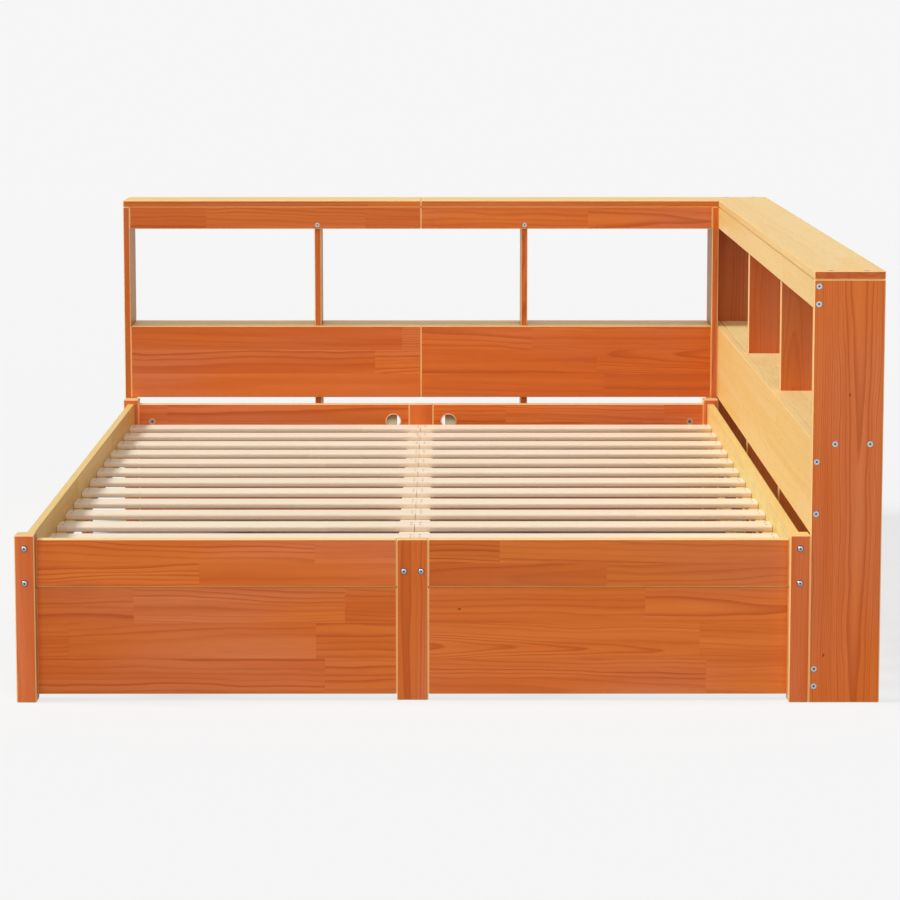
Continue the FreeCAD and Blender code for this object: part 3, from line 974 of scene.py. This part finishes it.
def liner_template(looks, free_side):
    """The liner of a cable hole, with a lid that leaves one side of the hole free."""
    bore, deep, setback = looks.hole_bore, looks.liner_depth, looks.lid_setback
    piece = start_cylinder(HOLE_SIDES, bore + 2 * COLLAR_WIDTH, 0, COLLAR_HEIGHT)
    raise_faces(piece, looks_down, COLLAR_WIDTH + LINER_PLAY, -deep)
    round_rim(piece, COLLAR_HEIGHT, COLLAR_ROUNDING, 2)
    core = bore - 2 * (LINER_PLAY + LINER_WALL)
    cut_away(piece, start_cylinder(HOLE_SIDES, core, -deep - 0.001, 0.002))
    lid = start_cylinder(HOLE_SIDES, bore - 2 * LID_PLAY, -setback - LID_THICKNESS, -setback)
    free = (free_side * (looks.lid_reach + bore / 2), 0, -setback)
    bpy.ops.mesh.primitive_cube_add(size=bore, location=free)
    cut_away(lid, bpy.context.active_object)
    select_only([piece, lid])
    bpy.ops.object.join()

    def on_lid(middle):
        return int(middle.z < -setback / 2 and math.hypot(middle.x, middle.y) < bore / 2 - LID_RIM)

    return finish_template(piece, (sanded_rim(), lid_wood()), on_lid)


class PINEBED_OT_stain_boards(bpy.types.Operator):
    """Give every board of the bed and its bookcases its own piece of stained pine"""

    bl_idname = "pine_bed.stain_boards"
    bl_label = "Stain the boards"

    def execute(self, context):
        pine_figure_group()
        board_faces_group()
        looks = context.scene.pine_bed.stain
        seed = 0
        for (grain, width), names in BOARDS.items():
            for name in names.split():
                seed += 1
                give_material(name, stained_board_material(name, grain, width, seed, looks))
        return {"FINISHED"}


class PINEBED_OT_finish_slats(bpy.types.Operator):
    """Give every row of slats and the beam its own piece of bare pine"""

    bl_idname = "pine_bed.finish_slats"
    bl_label = "Finish the slats"

    def execute(self, context):
        looks = context.scene.pine_bed.slats
        for seed, (name, (grain, width)) in enumerate(BARE.items(), FIRST_SLAT_SEED):
            give_material(name, bare_material(name, grain, width, seed, looks))
        return {"FINISHED"}


class PINEBED_OT_fit_frame_bolts(bpy.types.Operator):
    """Fit the domed socket bolts that hold the bed frame together"""

    bl_idname = "pine_bed.fit_frame_bolts"
    bl_label = "Fit the frame bolts"

    def execute(self, context):
        looks = context.scene.pine_bed.hardware
        corner = set_out(bolt_template(looks, CORNER_BOLT_REACH), "corner_bolts", corner_bolt_seats())
        centre = set_out(bolt_template(looks, CENTRE_BOLT_REACH), "centre_bolts", centre_bolt_seats())
        for piece in (corner, centre):
            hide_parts("frame_bolts")
        return {"FINISHED"}


class PINEBED_OT_fit_case_screws(bpy.types.Operator):
    """Fit the flush socket screws of both bookcases"""

    bl_idname = "pine_bed.fit_case_screws"
    bl_label = "Fit the bookcase screws"

    def execute(self, context):
        seats = (
            end_board_seats("side_end_front", FRONTWARD)
            + end_board_seats("side_end_rear", REARWARD)
            + end_board_seats("back_side_left", LEFTWARD)
            + fascia_screw_seats()
            + top_screw_seats()
        )
        set_out(flush_screw_template(context.scene.pine_bed.hardware), "case_screws", seats)
        return {"FINISHED"}


class PINEBED_OT_fit_slat_screws(bpy.types.Operator):
    """Fit the cross-head screws at both ends of every slat"""

    bl_idname = "pine_bed.fit_slat_screws"
    bl_label = "Fit the slat screws"

    def execute(self, context):
        template = slat_screw_template(context.scene.pine_bed.hardware)
        set_out(template, "slat_screws", slat_screw_seats())
        return {"FINISHED"}


class PINEBED_OT_fit_cams(bpy.types.Operator):
    """Fit the cam fittings in the inner faces of the head rails"""

    bl_idname = "pine_bed.fit_cams"
    bl_label = "Fit the cams"

    def execute(self, context):
        set_out(cam_template(context.scene.pine_bed.hardware), "cam_fittings", cam_seats())
        return {"FINISHED"}


class PINEBED_OT_line_cable_holes(bpy.types.Operator):
    """Line the cable holes of the head rails and hang their lids"""

    bl_idname = "pine_bed.line_cable_holes"
    bl_label = "Line the cable holes"

    def execute(self, context):
        looks = context.scene.pine_bed.hardware
        for side, word in SIDES.items():
            template = liner_template(looks, -side)
            set_out(template, f"cable_hole_liner_{word}", [cable_hole_seat(side)])
        return {"FINISHED"}


CAMERA_PLACE = (-0.00217, -7.00711, 1.4659)
CAMERA_PITCH = math.radians(6.45)
CAMERA_YAW = math.radians(0.066)
CAMERA_LENS = 114.67
CAMERA_SHIFT = -0.14
CAMERA_SENSOR = 36
CAMERA_REACH = 200
# Where the lamps shine from, and how wide they look.
KEY_FROM, KEY_WIDTH = (-0.74, -0.02, 0.67), math.radians(16)
FILL_FROM, FILL_WIDTH = (0, -0.94, 0.35), math.radians(70)
# The shade under the bed, in metres: where it starts and ends past each side of the bed, and how far it
# reaches out to the left at the rear.
SHADE_LEFT, SHADE_RIGHT = (-0.06, 0.06), (0.08, 0.18)
SHADE_FOOT, SHADE_HEAD = (0.1, 0.6), (0.0, 0.25)
SHADE_SPILL, SHADE_SPILL_ALONG = 0.1, (-0.2, 0.9)


def add_camera():
    """The camera of the photograph's view."""
    turn = (math.pi / 2 - CAMERA_PITCH, 0, -CAMERA_YAW)
    bpy.ops.object.camera_add(location=CAMERA_PLACE, rotation=turn)
    camera = bpy.context.active_object
    camera.name = "camera"
    camera.data.lens = CAMERA_LENS
    camera.data.sensor_width = CAMERA_SENSOR
    camera.data.shift_y = CAMERA_SHIFT
    camera.data.clip_end = CAMERA_REACH
    bpy.context.scene.camera = camera


def add_sun(name, toward, strength, spread):
    """A broad soft lamp that shines from the given direction."""
    turn = Vector(toward).to_track_quat("Z", "Y").to_euler()
    bpy.ops.object.light_add(type="SUN", rotation=turn)
    lamp = bpy.context.active_object
    lamp.name = name
    lamp.data.energy = strength
    lamp.data.angle = spread


def seen_directly(draw):
    """1 for rays of the camera and of reflections, which show the plain background."""
    rays = draw.add("ShaderNodeLightPath").outputs
    seen = draw.plus(rays["Is Camera Ray"], rays["Is Glossy Ray"])
    return draw.plus(seen, rays["Is Transmission Ray"], clamp=True)


def set_world(looks):
    """Even room light, with the plain backdrop where the camera sees past the floor."""
    world = bpy.data.worlds.new("studio")
    world.use_nodes = True
    bpy.context.scene.world = world
    draw = NodeSketch(world.node_tree)
    background = world.node_tree.nodes["Background"]
    strength = draw.add("ShaderNodeMix", data_type="FLOAT")
    draw.feed(strength.inputs["Factor"], seen_directly(draw))
    draw.feed(strength.inputs["A"], looks.ambient)
    draw.feed(strength.inputs["B"], 1.0)
    colour = draw.mix(seen_directly(draw), (1, 1, 1), looks.backdrop)
    draw.feed(background.inputs["Color"], colour)
    draw.feed(background.inputs["Strength"], strength.outputs["Result"])


def shade_under_bed(draw, place):
    """1 deep under the slats, 0 outside the bed and just behind its foot panels."""
    low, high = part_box("foot_panel_left")[0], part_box("head_panel_right")[1]
    x, y, z = draw.split(place)
    spill = draw.times(draw.remap(y, *SHADE_SPILL_ALONG), SHADE_SPILL)
    left = draw.remap(draw.plus(x, spill), *(low.x + far for far in SHADE_LEFT))
    right = draw.remap(x, *(high.x + far for far in SHADE_RIGHT), 1.0, 0.0)
    foot = draw.remap(y, *(low.y + far for far in SHADE_FOOT))
    head = draw.remap(y, *(high.y + far for far in SHADE_HEAD), 1.0, 0.0)
    return draw.times(draw.times(left, right), draw.times(foot, head))


def floor_material(looks):
    """Matt pale floor that melts into the backdrop far from the bed, with a shadow painted on it under the
    bed.
    """
    material, draw, inputs = new_material("studio floor", 0.9)
    place = draw.add("ShaderNodeTexCoord").outputs["Object"]
    mottle = draw.noise(draw.vector("MULTIPLY", place, (2, 2, 2)), 2.0)
    shaded = tuple(value - looks.floor_glow for value in looks.backdrop)
    darker = tuple(value * 0.985 for value in shaded)
    seen = seen_directly(draw)
    # Painted shadow: under the bed the floor takes the darker shade colour and loses its glow.
    open_floor = draw.minus(1.0, shade_under_bed(draw, place))
    shown = draw.mix(open_floor, looks.shade, draw.mix(mottle, shaded, darker))
    draw.feed(inputs["Base Color"], draw.mix(seen, looks.floor, shown))
    glow = draw.times(draw.times(seen, looks.floor_glow), open_floor)
    draw.feed(inputs["Emission Strength"], glow)
    inputs["Specular IOR Level"].default_value = 0.0
    away, radius = draw.vector("LENGTH", place), looks.floor_radius
    draw.feed(inputs["Alpha"], draw.remap(away, radius * 0.3, radius * 0.95, 1.0, 0.0))
    return material


class PINEBED_OT_set_stage(bpy.types.Operator):
    """Set the floor, the light and the camera"""

    bl_idname = "pine_bed.set_stage"
    bl_label = "Set the stage"

    def execute(self, context):
        looks = context.scene.pine_bed.stage
        bpy.ops.object.select_all(action="DESELECT")
        bpy.ops.mesh.primitive_circle_add(vertices=96, radius=looks.floor_radius, fill_type="NGON")
        floor = context.active_object
        floor.name = "studio_floor"
        floor.data.materials.append(floor_material(looks))
        set_world(looks)
        add_sun("key", KEY_FROM, looks.key, KEY_WIDTH)
        add_sun("fill", FILL_FROM, looks.fill, FILL_WIDTH)
        add_camera()
        context.scene.view_settings.view_transform = "Standard"
        return {"FINISHED"}


class PINEBED_PT_tools(bpy.types.Panel):
    """The steps that dress the bed, with the values they use"""

    bl_idname = "PINEBED_PT_tools"
    bl_label = "Pine Bed"
    bl_space_type = "VIEW_3D"
    bl_region_type = "UI"
    bl_category = "Pine Bed"

    def draw(self, context):
        looks = context.scene.pine_bed
        for part in ("stain", "slats", "hardware", "stage"):
            box = self.layout.box()
            box.label(text=part.title())
            group = getattr(looks, part)
            for name in group.bl_rna.properties.keys():
                if name not in ("rna_type", "name"):
                    box.prop(group, name)
        for operator in OPERATORS:
            self.layout.operator(operator.bl_idname)


OPERATORS = (
    PINEBED_OT_stain_boards,
    PINEBED_OT_finish_slats,
    PINEBED_OT_fit_frame_bolts,
    PINEBED_OT_fit_case_screws,
    PINEBED_OT_fit_slat_screws,
    PINEBED_OT_fit_cams,
    PINEBED_OT_line_cable_holes,
    PINEBED_OT_set_stage,
)


KINDS = (StainLooks, SlatLooks, HardwareLooks, StageLooks, BedLooks, *OPERATORS, PINEBED_PT_tools)


def register():
    """Adds the bed's values, steps and panel to the program."""
    for kind in KINDS:
        bpy.utils.register_class(kind)
    bpy.types.Scene.pine_bed = PointerProperty(type=BedLooks)


def unregister():
    """Takes them out again."""
    del bpy.types.Scene.pine_bed
    for kind in reversed(KINDS):
        bpy.utils.unregister_class(kind)


def main():
    """Dresses the bed step by step."""
    register()
    bpy.ops.pine_bed.stain_boards()
    bpy.ops.pine_bed.finish_slats()
    bpy.ops.pine_bed.fit_frame_bolts()
    bpy.ops.pine_bed.fit_case_screws()
    bpy.ops.pine_bed.fit_slat_screws()
    bpy.ops.pine_bed.fit_cams()
    bpy.ops.pine_bed.line_cable_holes()
    bpy.ops.pine_bed.set_stage()


if __name__ == "__main__":
    main()
